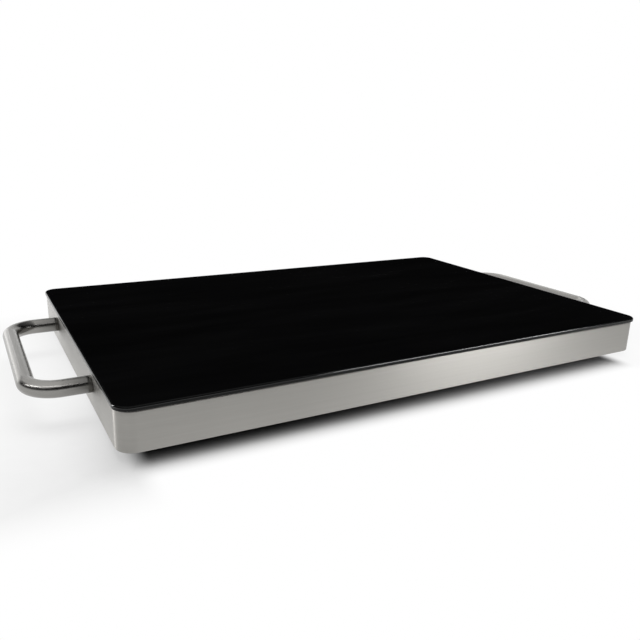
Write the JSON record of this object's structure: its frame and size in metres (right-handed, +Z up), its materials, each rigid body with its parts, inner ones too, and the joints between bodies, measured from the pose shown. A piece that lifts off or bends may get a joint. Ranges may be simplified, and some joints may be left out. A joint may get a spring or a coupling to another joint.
{
  "type": "electric food warmer tray",
  "caption": "Flat electric food warmer: a black glass hot plate on a low folded steel housing, with a bent tube handle at each end, a thermostat knob and a mains inlet.",
  "frame": {"origin": "on the table under the middle of the tray, at the rubber feet's undersides", "axes": "+X along the tray to the right end with the knob, +Y to the back wall with the mains inlet, +Z up"},
  "size_m": [0.714, 0.4027, 0.0475],
  "materials": {
    "black_glass": "gloss",
    "silicone_black": "satin",
    "brushed_steel": "satin",
    "tube_steel": "satin",
    "zinc_steel": "satin",
    "rubber_black": "matte",
    "aluminium": "satin",
    "mica": "satin",
    "heater_alloy": "satin",
    "fibre_board": "matte",
    "black_plastic": "satin",
    "amber_lens": "gloss",
    "brass": "satin",
    "white_ceramic": "satin",
    "brown_sleeve": "satin",
    "blue_sleeve": "satin",
    "green_sleeve": "satin",
    "white_sleeve": "satin"
  },
  "bodies": {
    "housing": {"glass_top": "black_glass", "glass_seal": "silicone_black", "housing_shell": "brushed_steel", "base_plate": "zinc_steel", "base_screw_1": "zinc_steel", "base_screw_2": "zinc_steel", "base_screw_3": "zinc_steel", "base_screw_4": "zinc_steel", "base_screw_5": "zinc_steel", "base_screw_6": "zinc_steel", "base_screw_7": "zinc_steel", "base_screw_8": "zinc_steel", "rubber_foot_1": "rubber_black", "rubber_foot_2": "rubber_black", "rubber_foot_3": "rubber_black", "rubber_foot_4": "rubber_black", "heat_spreader": "aluminium", "mica_sheet": "mica", "heater_ribbon": "heater_alloy", "insulation_board": "fibre_board", "reflector_plate": "zinc_steel", "support_bridge_left": "zinc_steel", "support_bridge_right": "zinc_steel", "handle_left": "tube_steel", "handle_right": "tube_steel", "handle_plug_1": "zinc_steel", "handle_plug_2": "zinc_steel", "handle_plug_3": "zinc_steel", "handle_plug_4": "zinc_steel", "handle_screw_1": "zinc_steel", "handle_screw_2": "zinc_steel", "handle_screw_3": "zinc_steel", "handle_screw_4": "zinc_steel", "thermostat_body": "black_plastic", "thermostat_nut": "zinc_steel", "pilot_lamp_lens": "amber_lens", "pilot_lamp_body": "black_plastic", "power_inlet": "black_plastic", "inlet_pin_live": "brass", "inlet_pin_neutral": "brass", "inlet_pin_earth": "brass", "inlet_screw_left": "zinc_steel", "inlet_screw_right": "zinc_steel", "terminal_block": "white_ceramic", "thermal_fuse": "aluminium", "fuse_clip": "zinc_steel", "earth_screw": "brass", "wire_neutral_in": "blue_sleeve", "wire_live_in": "brown_sleeve", "wire_earth": "green_sleeve", "wire_thermostat": "brown_sleeve", "wire_fuse": "white_sleeve", "wire_heater_feed": "white_sleeve", "wire_heater_return": "white_sleeve", "wire_lamp_feed": "white_sleeve", "wire_lamp_return": "blue_sleeve"},
    "knob": {"temperature_knob": "black_plastic", "thermostat_shaft": "brass"}
  },
  "joints": [
    {"name": "temperature_turn", "type": "hinge", "parent": "housing", "child": "knob", "pos_m": [0.3068, 0, 0.0255], "axis": [-1, 0, 0], "range_deg": [0, 270]}
  ]
}
